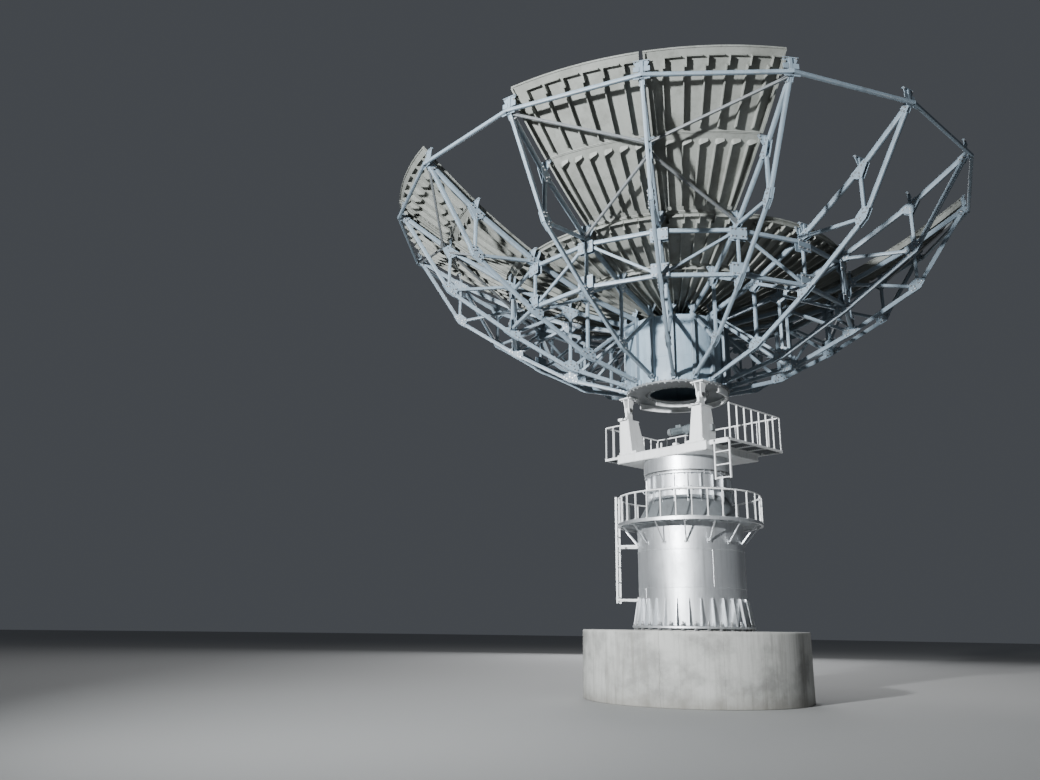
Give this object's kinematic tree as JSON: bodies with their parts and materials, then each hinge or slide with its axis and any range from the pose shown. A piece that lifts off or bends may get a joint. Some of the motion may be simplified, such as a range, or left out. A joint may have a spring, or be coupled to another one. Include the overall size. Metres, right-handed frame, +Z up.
{
  "type": "radio telescope dish",
  "caption": "Prime-focus radio telescope: a ribbed open-frame dish tipping on a yoke that turns on a steel pedestal with walkways and a concrete plinth.",
  "frame": {"origin": "the middle of the plinth's underside, on the vertical azimuth axis", "axes": "+Z up, X along the elevation axis, the dish at the zenith and tipping towards -Y"},
  "size_m": [11.5268, 11.5268, 9.8069],
  "materials": {
    "concrete": "cast concrete, weathered and stained",
    "white_paint": "white paint, weathered",
    "grey_paint": "grey paint",
    "truss_paint": "light blue-grey paint",
    "hub_paint": "pale blue-grey paint",
    "panel_paint": "matt off-white paint on sheet",
    "steel": "bare machined steel"
  },
  "bodies": {
    "pedestal": {"plinth": "concrete", "base_flange": "white_paint", "pedestal_tube": "white_paint", "pedestal_cone": "grey_paint", "lower_platform": "white_paint", "lower_railing": "white_paint", "pedestal_ladder": "white_paint", "bearing_housing": "white_paint", "azimuth_bearing": "steel"},
    "yoke": {"turntable": "white_paint", "yoke_base": "white_paint", "yoke_arm_right": "white_paint", "yoke_arm_left": "white_paint", "bearing_block_right": "grey_paint", "bearing_block_left": "grey_paint", "elevation_gearbox": "grey_paint", "elevation_motor": "grey_paint", "upper_platform": "grey_paint", "upper_railing": "white_paint", "hanging_ladder": "white_paint"},
    "dish": {"hub_drum": "hub_paint", "hub_ring": "hub_paint", "vertex_cover": "panel_paint", "inner_panels_lower": "panel_paint", "inner_panels_upper": "panel_paint", "rim_ring": "truss_paint", "ring_truss": "truss_paint", "fork_right": "grey_paint", "fork_left": "grey_paint", "rib_01": "truss_paint", "rib_02": "truss_paint", "rib_03": "truss_paint", "rib_04": "truss_paint", "rib_05": "truss_paint", "rib_06": "truss_paint", "rib_07": "truss_paint", "rib_08": "truss_paint", "rib_09": "truss_paint", "rib_10": "truss_paint", "rib_11": "truss_paint", "rib_12": "truss_paint", "rib_13": "truss_paint", "rib_14": "truss_paint", "rib_15": "truss_paint", "rib_16": "truss_paint", "outer_panels_02": "panel_paint", "outer_panels_03": "panel_paint", "outer_panels_05": "panel_paint", "outer_panels_06": "panel_paint", "outer_panels_10": "panel_paint", "outer_panels_11": "panel_paint", "outer_panels_13": "panel_paint", "outer_panels_14": "panel_paint"}
  },
  "joints": [
    {"name": "azimuth", "type": "hinge", "parent": "pedestal", "child": "yoke", "pos_m": [0, 0, 4.36], "axis": [0, 0, 1], "range_deg": [-180, 180]},
    {"name": "elevation", "type": "hinge", "parent": "yoke", "child": "dish", "pos_m": [0, -0.71, 5.64], "axis": [1, 0, 0], "range_deg": [0, 85]}
  ]
}
